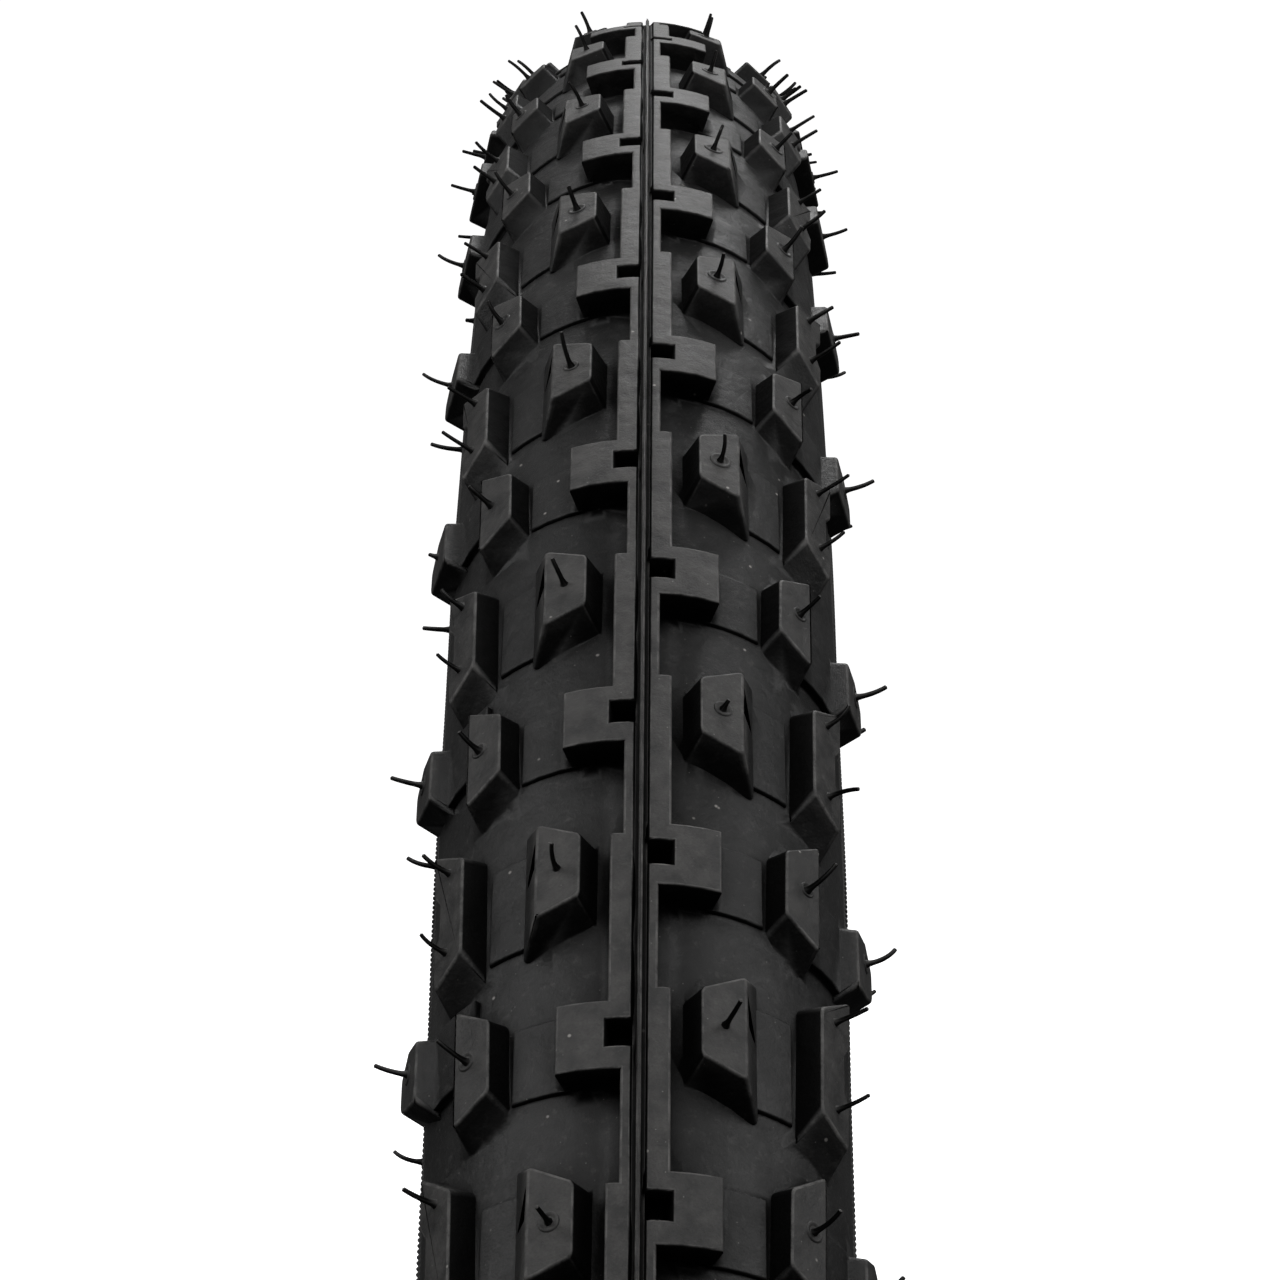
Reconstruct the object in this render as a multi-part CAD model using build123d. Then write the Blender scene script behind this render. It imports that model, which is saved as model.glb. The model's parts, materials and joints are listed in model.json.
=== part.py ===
from build123d import *
import math
import os

# Bicycle tire, ISO 50-559 (26 x 1.95), wire beads, knobbed cross-country tread.
#
# Frame: millimetres, +Z up, origin at the wheel's centre, the wheel turns about +Y.
# With +X forward, +Y is the rider's left. "Left" pieces are at +Y, "right" ones at -Y.
#
# Places on the tread are given as (f, u):
#   f  fraction of one tread pitch along the circumference, from the middle of the
#      rail's pocket, growing from +X towards +Z
#   u  distance in mm from the crown line, along the arc of the bare carcass rubber
# The right side is the left one mirrored and shifted by STAGGER.

# ---- driving dimensions -------------------------------------------------------------
PITCHES = 54                 # tread pitches round the tire
STAGGER = 0.464              # right side's shift, in pitches
OUTER_RADIUS = 332.0         # over the centre rail
RAIL_HEIGHT = 3.2
BODY_ARC = 20.1              # radius of the rubber's section, crown and shoulders
BEAD_OUTER_HALF = 12.5       # half the width over the beads: fits a 25 mm inner width rim
BEAD_BORE_RADIUS = 279.75    # bead seat of 279.5 mm plus the fitting clearance

PLY_THICKNESS = 0.55
BELT_THICKNESS = 0.55
BELT_HALF_ANGLE = 40.0       # half the belt's spread from the crown, degrees
CASING_ARC = 19.0            # radius of the outer ply's outer face
CASING_DROP = 0.8            # how far the casing's arc centre lies below the rubber's
TREAD_EDGE_ANGLE = 4.0       # where tread rubber meets sidewall rubber, degrees up
TURN_UP_TILT = 19.0          # how fast the turned-up ply closes on the sidewall, degrees

WIRE_DIAMETER = 0.9
WIRE_GAP = 0.02
WRAP_THICKNESS = 0.37
CHAFER_THICKNESS = 0.7
CHAFER_TOP_OUTSIDE = 288.0   # radius that the chafer reaches outside the tire
CHAFER_TOP_INSIDE = 286.4    # and inside it
CHAFER_FOLDS = 8             # flat folds that take the chafer round the turned-up ply
OUTER_PLY_END = 286.6        # radius where the outer ply stops above the wires
BEAD_BASE_OUTER = 11.5       # the flat under each bead, from the centre plane
BEAD_BASE_INNER = 8.2

KNOB_ROOT = 0.45             # how far a knob's block reaches into the carcass rubber
MID_HEIGHT = 3.0
SHOULDER_HEIGHT = 2.4
SIDE_HEIGHT = 2.2
TIE_HEIGHT = 0.4             # low bars that tie the rows together
STEP_HEIGHT = 0.8            # low step between the short shoulder and side knobs
RAIL_INNER = 0.54            # edge of the groove beside the parting line
RAIL_WIDE = 2.5
RAIL_NARROW = 1.45
LUG_OUTER = 6.7              # outer end of the rail's side lugs
CENTRE_STRIP_HEIGHT = 2.7
PARTING_RIDGE_HALF = 0.2
PARTING_RIDGE_HEIGHT = 3.5
POCKET_HALF = 0.037          # half the pocket's length, in pitches
LUG_REAR = 0.092             # the lug runs from LUG_FRONT to LUG_REAR, in pitches
LUG_FRONT = -0.102
RAIL_STEP = -0.405           # where the rail steps from narrow to wide
POCKET_OUTER = 2.64
SIDE_KNOB_SHIFT = {"left": -0.022, "right": 0.141}   # the mould's two halves differ

WHISKER_ROOT_RADIUS = 0.42
WHISKER_RADIUS = 0.21
WHISKER_ROOT_LENGTH = 0.7
WHISKER_LENGTH = 3.6

# ---- derived sizes ------------------------------------------------------------------
PITCH_DEGREES = 360.0 / PITCHES
PITCH_RADIANS = math.radians(PITCH_DEGREES)
CROWN_RADIUS = OUTER_RADIUS - RAIL_HEIGHT
BODY_CENTRE = (0.0, CROWN_RADIUS - BODY_ARC)
CASING_CENTRE = (0.0, BODY_CENTRE[1] - CASING_DROP)
BUNDLE_RADIUS = 1.5 * WIRE_DIAMETER + WIRE_GAP
WRAP_RADIUS = BUNDLE_RADIUS + WRAP_THICKNESS
BEAD_PLY_RADIUS = WRAP_RADIUS + PLY_THICKNESS
BEAD_CENTRE = (
    BEAD_OUTER_HALF - CHAFER_THICKNESS - BEAD_PLY_RADIUS,
    BEAD_BORE_RADIUS + CHAFER_THICKNESS + BEAD_PLY_RADIUS,
)
SECTOR_START = 0.23          # cut between pitches, clear of the left side's knobs


# ---- section geometry, in (distance from the centre plane, radius) ---------------------
def polar(centre, radius, degrees):
    angle = math.radians(degrees)
    return (centre[0] + radius * math.cos(angle), centre[1] + radius * math.sin(angle))


def arc(centre, radius, start, end):
    middle = (start + end) / 2
    return ThreePointArc(*(polar(centre, radius, a) for a in (start, middle, end)))


def revolved(section, start_degrees=0.0, degrees=360.0):
    """Turn a section face about the axle, from start_degrees (from +X towards +Z)."""
    placed = Plane.YZ * section
    if degrees < 360.0:
        placed = Rot(0, 90.0 - start_degrees, 0) * placed
        return revolve(placed, axis=-Axis.Y, revolution_arc=degrees)
    return revolve(placed, axis=Axis.Y, revolution_arc=degrees)


def both_sides(half_section):
    """A section that runs right across the mid plane, from its left half."""
    return half_section + mirror(half_section, about=Plane.YZ)


def internal_tangent_angle(body_radius, bead_radius):
    """Direction of the normal of the line that leaves the casing's arc on its outside
    and reaches the bead's circle on its inside."""
    across = BEAD_CENTRE[0] - CASING_CENTRE[0]
    down = BEAD_CENTRE[1] - CASING_CENTRE[1]
    distance = math.hypot(across, down)
    heading = math.degrees(math.atan2(down, across))
    return heading + math.degrees(math.acos((body_radius + bead_radius) / distance))


INNER_PLY_ARC = CASING_ARC - 1.5 * PLY_THICKNESS
WALL_ANGLE = internal_tangent_angle(INNER_PLY_ARC, WRAP_RADIUS + PLY_THICKNESS / 2)


def wall_point(distance, radius):
    """Point at a radius on the straight sidewall line that runs parallel to the casing,
    at a distance from the casing's arc centre along the wall's normal."""
    nx = math.cos(math.radians(WALL_ANGLE))
    nz = math.sin(math.radians(WALL_ANGLE))
    across = (distance - (radius - CASING_CENTRE[1]) * nz) / nx
    return (across, radius)


def inner_ply_section():
    """Half of the inner ply: crown, sidewall, round the bead and up its outside."""
    half = PLY_THICKNESS / 2
    exit_angle = 360.0 + WALL_ANGLE + TURN_UP_TILT
    mid = WRAP_RADIUS + half
    length = (mid + mid * math.cos(math.radians(TURN_UP_TILT)) - 2 * PLY_THICKNESS)
    length /= math.sin(math.radians(TURN_UP_TILT))
    rise = math.radians(exit_angle + 90.0)
    outer_exit = polar(BEAD_CENTRE, BEAD_PLY_RADIUS, exit_angle)
    inner_exit = polar(BEAD_CENTRE, WRAP_RADIUS, exit_angle)
    outer_end = (outer_exit[0] + length * math.cos(rise), outer_exit[1] + length * math.sin(rise))
    inner_end = (inner_exit[0] + length * math.cos(rise), inner_exit[1] + length * math.sin(rise))
    face_out = INNER_PLY_ARC + half
    face_in = INNER_PLY_ARC - half
    edges = [
        arc(CASING_CENTRE, face_out, 90.0, WALL_ANGLE),
        Line(polar(CASING_CENTRE, face_out, WALL_ANGLE),
             polar(BEAD_CENTRE, WRAP_RADIUS, WALL_ANGLE + 180.0)),
        arc(BEAD_CENTRE, WRAP_RADIUS, WALL_ANGLE + 180.0, exit_angle),
        Line(inner_exit, inner_end),
        Line(inner_end, outer_end),
        Line(outer_end, outer_exit),
        arc(BEAD_CENTRE, BEAD_PLY_RADIUS, exit_angle, WALL_ANGLE + 180.0),
        Line(polar(BEAD_CENTRE, BEAD_PLY_RADIUS, WALL_ANGLE + 180.0),
             polar(CASING_CENTRE, face_in, WALL_ANGLE)),
        arc(CASING_CENTRE, face_in, WALL_ANGLE, 90.0),
        Line(polar(CASING_CENTRE, face_in, 90.0), polar(CASING_CENTRE, face_out, 90.0)),
    ]
    return make_face(edges), inner_end, outer_end


def casing_band(outer_radius, inner_radius, end_radius):
    """Half of a ply that follows the casing's arc and then its straight wall."""
    edges = [
        arc(CASING_CENTRE, outer_radius, 90.0, WALL_ANGLE),
        Line(polar(CASING_CENTRE, outer_radius, WALL_ANGLE), wall_point(outer_radius, end_radius)),
        Line(wall_point(outer_radius, end_radius), wall_point(inner_radius, end_radius)),
        Line(wall_point(inner_radius, end_radius), polar(CASING_CENTRE, inner_radius, WALL_ANGLE)),
        arc(CASING_CENTRE, inner_radius, WALL_ANGLE, 90.0),
        Line(polar(CASING_CENTRE, inner_radius, 90.0), polar(CASING_CENTRE, outer_radius, 90.0)),
    ]
    return make_face(edges)


def belt_section():
    start = 90.0 - BELT_HALF_ANGLE
    outer = CASING_ARC + BELT_THICKNESS
    edges = [
        arc(CASING_CENTRE, outer, 90.0, start),
        Line(polar(CASING_CENTRE, outer, start), polar(CASING_CENTRE, CASING_ARC, start)),
        arc(CASING_CENTRE, CASING_ARC, start, 90.0),
        Line(polar(CASING_CENTRE, CASING_ARC, 90.0), polar(CASING_CENTRE, outer, 90.0)),
    ]
    return make_face(edges)


def tread_edge():
    """The joint between tread and sidewall rubber, from the outside to the casing."""
    outside = polar(BODY_CENTRE, BODY_ARC, TREAD_EDGE_ANGLE)
    reach = CASING_ARC ** 2 - (outside[1] - CASING_CENTRE[1]) ** 2
    inside = (math.sqrt(reach), outside[1])
    angle = math.degrees(math.atan2(outside[1] - CASING_CENTRE[1], inside[0]))
    return outside, inside, angle


def tread_section():
    """Half of the carcass rubber under the tread, between the knobs."""
    outside, inside, inside_angle = tread_edge()
    belt_edge = 90.0 - BELT_HALF_ANGLE
    over_belt = CASING_ARC + BELT_THICKNESS
    edges = [
        arc(BODY_CENTRE, BODY_ARC, 90.0, TREAD_EDGE_ANGLE),
        Line(outside, inside),
        arc(CASING_CENTRE, CASING_ARC, inside_angle, belt_edge),
        Line(polar(CASING_CENTRE, CASING_ARC, belt_edge), polar(CASING_CENTRE, over_belt, belt_edge)),
        arc(CASING_CENTRE, over_belt, belt_edge, 90.0),
        Line(polar(CASING_CENTRE, over_belt, 90.0), polar(BODY_CENTRE, BODY_ARC, 90.0)),
    ]
    return make_face(edges)


def outline_tangent():
    """Where the outside of the rubber leaves its arc for the straight lower sidewall."""
    foot = (BEAD_OUTER_HALF, BEAD_CENTRE[1] + BEAD_PLY_RADIUS)
    across = foot[0] - BODY_CENTRE[0]
    down = foot[1] - BODY_CENTRE[1]
    heading = math.degrees(math.atan2(down, across))
    return foot, heading + math.degrees(math.acos(BODY_ARC / math.hypot(across, down)))


def bead_outline():
    """Closed outline of everything at and below the chafer's upper edges."""
    foot, leave = outline_tangent()
    top = polar(BODY_CENTRE, BODY_ARC, leave)
    share = (CHAFER_TOP_OUTSIDE - foot[1]) / (top[1] - foot[1])
    outside_top = (foot[0] + share * (top[0] - foot[0]), CHAFER_TOP_OUTSIDE)
    face_in = INNER_PLY_ARC - PLY_THICKNESS / 2
    heel = BEAD_BORE_RADIUS + (BEAD_OUTER_HALF - BEAD_BASE_OUTER)
    toe = BEAD_CENTRE[0] - BEAD_PLY_RADIUS - CHAFER_THICKNESS
    points = [
        outside_top,
        foot,
        (BEAD_OUTER_HALF, heel),
        (BEAD_BASE_OUTER, BEAD_BORE_RADIUS),
        (BEAD_BASE_INNER, BEAD_BORE_RADIUS),
        (toe, heel),
        (toe, BEAD_CENTRE[1] + CHAFER_THICKNESS),
        wall_point(face_in, CHAFER_TOP_INSIDE),
        wall_point(face_in + PLY_THICKNESS, CHAFER_TOP_OUTSIDE),
    ]
    return make_face(Polyline(*points, close=True))


def ply_envelope(inner_end, outer_end):
    """Everything inside the turned-up inner ply, filled."""
    exit_angle = 360.0 + WALL_ANGLE + TURN_UP_TILT
    face_in = INNER_PLY_ARC - PLY_THICKNESS / 2
    edges = [
        Line(polar(CASING_CENTRE, face_in, WALL_ANGLE),
             polar(BEAD_CENTRE, BEAD_PLY_RADIUS, WALL_ANGLE + 180.0)),
        arc(BEAD_CENTRE, BEAD_PLY_RADIUS, WALL_ANGLE + 180.0, exit_angle),
        Line(polar(BEAD_CENTRE, BEAD_PLY_RADIUS, exit_angle), outer_end),
        Line(outer_end, inner_end),
        Line(inner_end, polar(CASING_CENTRE, CASING_ARC, WALL_ANGLE)),
        Line(polar(CASING_CENTRE, CASING_ARC, WALL_ANGLE), polar(CASING_CENTRE, face_in, WALL_ANGLE)),
    ]
    return make_face(edges)


def folded_envelope(inner_end, outer_end):
    """The ply's envelope as the stiff chafer goes round it: in flat folds that touch it."""
    start = WALL_ANGLE + 180.0
    step = (360.0 + WALL_ANGLE + TURN_UP_TILT - start) / CHAFER_FOLDS
    reach = BEAD_PLY_RADIUS / math.cos(math.radians(step / 2))
    points = [
        polar(CASING_CENTRE, INNER_PLY_ARC - PLY_THICKNESS / 2, WALL_ANGLE),
        *[polar(BEAD_CENTRE, reach, start + (k + 0.5) * step) for k in range(CHAFER_FOLDS)],
        outer_end,
        inner_end,
        polar(CASING_CENTRE, CASING_ARC, WALL_ANGLE),
    ]
    return make_face(Polyline(*points, close=True))


def sidewall_section(envelope, bead):
    """Thin sidewall rubber, from the tread's edge down to the chafer."""
    outside, inside, inside_angle = tread_edge()
    foot, leave = outline_tangent()
    edges = [
        arc(BODY_CENTRE, BODY_ARC, TREAD_EDGE_ANGLE, leave),
        Line(polar(BODY_CENTRE, BODY_ARC, leave), foot),
        Line(foot, wall_point(CASING_ARC, foot[1])),
        Line(wall_point(CASING_ARC, foot[1]), polar(CASING_CENTRE, CASING_ARC, WALL_ANGLE)),
        arc(CASING_CENTRE, CASING_ARC, WALL_ANGLE, inside_angle),
        Line(inside, outside),
    ]
    return make_face(edges) - envelope - bead


def filler_section(inner_end, inner_ply, outer_ply):
    """Rubber strip in the wedge above the wires, inside the turned-up ply."""
    exit_angle = 360.0 + WALL_ANGLE + TURN_UP_TILT
    points = [
        BEAD_CENTRE,
        polar(BEAD_CENTRE, WRAP_RADIUS, exit_angle),
        inner_end,
        polar(BEAD_CENTRE, WRAP_RADIUS, WALL_ANGLE + 180.0),
    ]
    wedge = make_face(Polyline(*points, close=True))
    core = Pos(*BEAD_CENTRE) * Circle(WRAP_RADIUS)
    return wedge - core - inner_ply - outer_ply


# ---- tread blocks -------------------------------------------------------------------
def block_section(u_inner, u_outer, height):
    start = 90.0 - math.degrees(u_inner / BODY_ARC)
    end = 90.0 - math.degrees(u_outer / BODY_ARC)
    low = BODY_ARC - KNOB_ROOT
    high = BODY_ARC + height
    edges = [
        arc(BODY_CENTRE, high, start, end),
        Line(polar(BODY_CENTRE, high, end), polar(BODY_CENTRE, low, end)),
        arc(BODY_CENTRE, low, end, start),
        Line(polar(BODY_CENTRE, low, start), polar(BODY_CENTRE, high, start)),
    ]
    return make_face(edges)


def curved_block(u_inner, u_outer, f_from, f_to, height):
    """A block whose top follows the tire's curve and whose ends are radial."""
    section = block_section(u_inner, u_outer, height)
    return revolved(section, f_from * PITCH_DEGREES, (f_to - f_from) * PITCH_DEGREES)


def offset_outline(points, distances):
    """Move each edge of an outline outwards by its own distance."""
    count = len(points)
    turn = sum(
        points[i][0] * points[(i + 1) % count][1] - points[(i + 1) % count][0] * points[i][1]
        for i in range(count)
    )
    sign = 1.0 if turn > 0 else -1.0
    lines = []
    for i in range(count):
        (x0, y0), (x1, y1) = points[i], points[(i + 1) % count]
        length = math.hypot(x1 - x0, y1 - y0)
        nx = sign * (y1 - y0) / length
        ny = -sign * (x1 - x0) / length
        lines.append((nx, ny, nx * x0 + ny * y0 + distances[i]))
    moved = []
    for i in range(count):
        (a0, b0, c0), (a1, b1, c1) = lines[i - 1], lines[i]
        bottom = a0 * b1 - a1 * b0
        moved.append(((c0 * b1 - c1 * b0) / bottom, (a0 * c1 - a1 * c0) / bottom))
    return moved


def surface_plane(f, u):
    """Plane that touches the carcass rubber at (f, u): x forward along the tread,
    y towards the crown, z straight out."""
    angle = 90.0 - math.degrees(u / BODY_ARC)
    across, radius = polar(BODY_CENTRE, BODY_ARC, angle)
    normal = (0.0, math.cos(math.radians(angle)), math.sin(math.radians(angle)))
    top = Plane(origin=(0.0, across, radius), x_dir=(-1.0, 0.0, 0.0), z_dir=normal)
    return Rot(0, 90.0 - f * PITCH_DEGREES, 0) * Location(top), radius, angle


def middle_of(corners):
    count = len(corners)
    return sum(c[0] for c in corners) / count, sum(c[1] for c in corners) / count


def flat_block(corners, height, drafts):
    """A moulded knob: flat top with the given corners, each wall sloping out to its foot."""
    f_mid, u_mid = middle_of(corners)
    place, radius, angle = surface_plane(f_mid, u_mid)
    top_radius = radius + height * math.sin(math.radians(angle))
    along = PITCH_RADIANS * top_radius
    across = (BODY_ARC + height) / BODY_ARC
    top = [((f - f_mid) * along, (u_mid - u) * across) for f, u in corners]
    reach = (height + KNOB_ROOT) / height
    foot = offset_outline(top, [d * reach for d in drafts])
    upper = [(x, y, height) for x, y in top]
    lower = [(x, y, -KNOB_ROOT) for x, y in foot]
    count = len(top)
    faces = [Face(Wire.make_polygon(upper)), Face(Wire.make_polygon(lower))]
    for i in range(count):
        j = (i + 1) % count
        faces.append(Face(Wire.make_polygon([lower[i], lower[j], upper[j], upper[i]])))
    return place * Solid(Shell(faces))


def pocket(corners, top_height, floor_height):
    """A straight-sided hole in a knob's flank."""
    f_mid, u_mid = middle_of(corners)
    place, radius, _ = surface_plane(f_mid, u_mid)
    along = PITCH_RADIANS * radius
    outline = [((f - f_mid) * along, u_mid - u) for f, u in corners]
    hole = extrude(make_face(Polyline(*outline, close=True)), top_height - floor_height)
    return place * (Pos(0, 0, floor_height) * hole)


# Low bars are (inner u, outer u, front f, rear f).
LUG_TIE = (6.2, 12.1, -0.105, 0.11)
MID_TIE = (8.4, 15.3, -0.655, -0.36)
SIDE_STEP = (16.6, 24.2)
SIDE_STEP_HALF = 0.115

# Corners are (f, u), in order round each knob; drafts belong to the edge that starts at
# the corner of the same number.
MID_KNOB = [(-0.336, 8.8), (-0.394, 4.9), (-0.585, 4.9), (-0.632, 8.8)]
MID_DRAFTS = [0.5, 0.5, 1.3, 2.0]
MID_POCKET = [(-0.385, 8.9), (-0.47, 10.9), (-0.47, 8.9)]
SHORT_KNOB = [(0.20, 17.2), (0.125, 13.2), (-0.08, 13.0), (-0.14, 17.0)]
SHORT_DRAFTS = [0.4, 0.15, 1.3, 0.4]
LONG_KNOB = [
    (-0.22, 21.5), (-0.31, 16.9), (-0.62, 16.6), (-0.675, 20.7),
    (-0.545, 21.0), (-0.505, 20.3), (-0.40, 20.4), (-0.36, 21.3),
]
LONG_DRAFTS = [0.4, 0.15, 2.3, 0.5, 0.5, 0.5, 0.5, 0.5]
SIDE_KNOB = [(0.095, 23.6), (-0.095, 23.6), (-0.04, 27.8), (0.0, 30.2), (0.10, 30.2), (0.135, 27.2)]
SIDE_DRAFTS = [0.2, 1.3, 1.0, 0.3, 0.6, 0.5]


def rail_blocks():
    strip = block_section(-RAIL_INNER, RAIL_INNER, CENTRE_STRIP_HEIGHT)
    ridge = block_section(-PARTING_RIDGE_HALF, PARTING_RIDGE_HALF, PARTING_RIDGE_HEIGHT)
    start = SECTOR_START * PITCH_DEGREES
    return [revolved(strip, start, PITCH_DEGREES), revolved(ridge, start, PITCH_DEGREES)]


def pitch_blocks(side):
    """The blocks of one pitch on the left, with its rail, as separate solids."""
    shift = SIDE_KNOB_SHIFT[side]
    blocks = [
        curved_block(RAIL_INNER, RAIL_WIDE, LUG_REAR - 1.0, RAIL_STEP, RAIL_HEIGHT),
        curved_block(RAIL_INNER, RAIL_NARROW, RAIL_STEP, LUG_FRONT, RAIL_HEIGHT),
        curved_block(RAIL_INNER, LUG_OUTER, LUG_FRONT, -POCKET_HALF, RAIL_HEIGHT),
        curved_block(POCKET_OUTER, LUG_OUTER, -POCKET_HALF, POCKET_HALF, RAIL_HEIGHT),
        curved_block(RAIL_INNER, LUG_OUTER, POCKET_HALF, LUG_REAR, RAIL_HEIGHT),
        curved_block(*LUG_TIE, TIE_HEIGHT),
        curved_block(*MID_TIE, TIE_HEIGHT),
        curved_block(*SIDE_STEP, shift - SIDE_STEP_HALF, shift + SIDE_STEP_HALF, STEP_HEIGHT),
    ]
    mid = flat_block(MID_KNOB, MID_HEIGHT, MID_DRAFTS)
    blocks.append(mid - pocket(MID_POCKET, MID_HEIGHT, TIE_HEIGHT))
    blocks.append(flat_block(SHORT_KNOB, SHOULDER_HEIGHT, SHORT_DRAFTS))
    blocks.append(flat_block(LONG_KNOB, SHOULDER_HEIGHT, LONG_DRAFTS))
    side_knob = [(f + shift, u) for f, u in SIDE_KNOB]
    blocks.append(flat_block(side_knob, SIDE_HEIGHT, SIDE_DRAFTS))
    return blocks


def turned(shape, pitches):
    return Rot(0, -pitches * PITCH_DEGREES, 0) * shape


def sector_wedge():
    """The slice of space that holds one pitch."""
    half_width = BODY_ARC + 2 * SIDE_HEIGHT
    inner = OUTER_RADIUS - RAIL_HEIGHT - 2 * BODY_ARC
    outer = OUTER_RADIUS + RAIL_HEIGHT
    slab = Pos(0, (inner + outer) / 2) * Rectangle(2 * half_width, outer - inner)
    return revolved(slab, SECTOR_START * PITCH_DEGREES, PITCH_DEGREES)


def tread_sector():
    """One pitch of the tread rubber: carcass rubber with every block that reaches into it."""
    base = revolved(both_sides(tread_section()), SECTOR_START * PITCH_DEGREES, PITCH_DEGREES)
    wedge = sector_wedge()
    pieces = rail_blocks()
    for side in ("left", "right"):
        shift = STAGGER if side == "right" else 0.0
        for block in pitch_blocks(side):
            for step in (-1, 0, 1, 2):
                copy = turned(block, step + shift)
                if side == "right":
                    copy = mirror(copy, about=Plane.XZ)
                kept = copy & wedge
                if kept is not None:
                    pieces.extend(kept.solids())
    return base.fuse(*pieces)


def tread_ring():
    """The whole tread: one sector's skin copied round the wheel and sewn into one solid."""
    sector = tread_sector().solids()[0]
    limits = [SECTOR_START * PITCH_DEGREES, (SECTOR_START + 1) * PITCH_DEGREES]
    skin = [face for face in sector.faces() if not on_radial_plane(face, limits)]
    faces = []
    for pitch in range(PITCHES):
        faces.extend(turned(face, pitch) for face in skin)
    return Solid(Shell(faces))


def on_radial_plane(face, angles):
    """True for a face that lies in a half plane through the axle at one of the angles."""
    if face.geom_type != GeomType.PLANE:
        return False
    centre = face.center()
    normal = face.normal_at(centre)
    for degrees in angles:
        angle = math.radians(degrees)
        away = centre.X * math.sin(angle) - centre.Z * math.cos(angle)
        lean = normal.X * math.sin(angle) - normal.Z * math.cos(angle)
        if abs(away) < 1e-4 and abs(abs(lean) - 1.0) < 1e-6:
            return True
    return False


# ---- vent whiskers ------------------------------------------------------------------
# Rubber that rose in the mould's vent holes: (f, u, height of the face it stands on).
WHISKERS = {
    "mid": [(-0.49, 6.95, MID_HEIGHT)],
    "short_shoulder": [(0.035, 15.6, SHOULDER_HEIGHT)],
    "long_shoulder": [(-0.32, 19.0, SHOULDER_HEIGHT), (-0.58, 19.0, SHOULDER_HEIGHT)],
    "side": [(0.055, 26.9, SIDE_HEIGHT)],
    "sidewall": [(0.01, 31.0, 0.0)],
}


def whisker():
    """A whisker on the origin: a conical root and a thin straight shaft."""
    profile = Polyline(
        (0.0, 0.0),
        (WHISKER_ROOT_RADIUS, 0.0),
        (WHISKER_RADIUS, WHISKER_ROOT_LENGTH),
        (WHISKER_RADIUS, WHISKER_LENGTH),
        (0.0, WHISKER_LENGTH),
        close=True,
    )
    return revolve(Plane.XZ * make_face(profile), axis=Axis.Z)


def block_corners(row, side):
    """Corners of the knob that a row of whiskers stands on, or None on plain rubber."""
    if row == "side":
        return [(f + SIDE_KNOB_SHIFT[side], u) for f, u in SIDE_KNOB]
    return {"mid": MID_KNOB, "short_shoulder": SHORT_KNOB, "long_shoulder": LONG_KNOB}.get(row)


def whisker_row(row, side):
    """All the whiskers of one row on one side, as separate solids."""
    corners = block_corners(row, side)
    solids = []
    for f, u, height in WHISKERS[row]:
        if row == "side":
            f += SIDE_KNOB_SHIFT[side]
        if corners is None:
            place, _, _ = surface_plane(f, u)
            stand = place
        else:
            f_mid, u_mid = middle_of(corners)
            place, radius, angle = surface_plane(f_mid, u_mid)
            top_radius = radius + height * math.sin(math.radians(angle))
            along = (f - f_mid) * PITCH_RADIANS * top_radius
            across = (u_mid - u) * (BODY_ARC + height) / BODY_ARC
            stand = place * Pos(along, across, height)
        solids.append(stand * whisker())
    shift = STAGGER if side == "right" else 0.0
    row_solids = [turned(s, pitch + shift) for s in solids for pitch in range(PITCHES)]
    if side == "right":
        row_solids = [mirror(s, about=Plane.XZ) for s in row_solids]
    return Compound(children=row_solids)


# ---- beads --------------------------------------------------------------------------
def bead_wires():
    """Seven hoops of steel wire: one in the middle and six round it."""
    spacing = WIRE_DIAMETER + WIRE_GAP
    centres = [BEAD_CENTRE] + [polar(BEAD_CENTRE, spacing, 60.0 * i) for i in range(6)]
    return [revolved(Pos(*c) * Circle(WIRE_DIAMETER / 2)) for c in centres]


def bead_wrap():
    """Rubbered tape round the wire bundle."""
    return revolved(Pos(*BEAD_CENTRE) * (Circle(WRAP_RADIUS) - Circle(BUNDLE_RADIUS)))


def save(name, shape):
    export_step(shape, f"parts/{name}.step", write_pcurves=False)


def save_pair(name, solids):
    """Write a left node, and its mirror image as the right one."""
    mirrored = [mirror(s, about=Plane.XZ) for s in solids]
    for side, members in (("left", solids), ("right", mirrored)):
        save(f"{name}_{side}", members[0] if len(members) == 1 else Compound(children=members))


def main():
    os.makedirs("parts", exist_ok=True)
    inner_ply, inner_end, outer_end = inner_ply_section()
    outer_ply = casing_band(CASING_ARC, CASING_ARC - PLY_THICKNESS, OUTER_PLY_END)
    envelope = ply_envelope(inner_end, outer_end)
    bead = bead_outline()

    save("tread", tread_ring())
    save("puncture_belt", revolved(both_sides(belt_section())))
    save("casing_ply_outer", revolved(both_sides(outer_ply)))
    save("casing_ply_inner", revolved(both_sides(inner_ply)))
    save_pair("sidewall_rubber", [revolved(sidewall_section(envelope, bead))])
    save_pair("rim_chafer", [revolved(bead - folded_envelope(inner_end, outer_end))])
    save_pair("bead_filler", [revolved(filler_section(inner_end, inner_ply, outer_ply))])
    save_pair("bead_wrap", [bead_wrap()])
    save_pair("bead_wires", bead_wires())
    for row in WHISKERS:
        for side in ("left", "right"):
            save(f"vent_whiskers_{row}_{side}", whisker_row(row, side))


main()
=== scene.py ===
import json
import math
import random

import bmesh
import bpy
from mathutils import Matrix, Vector

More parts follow.
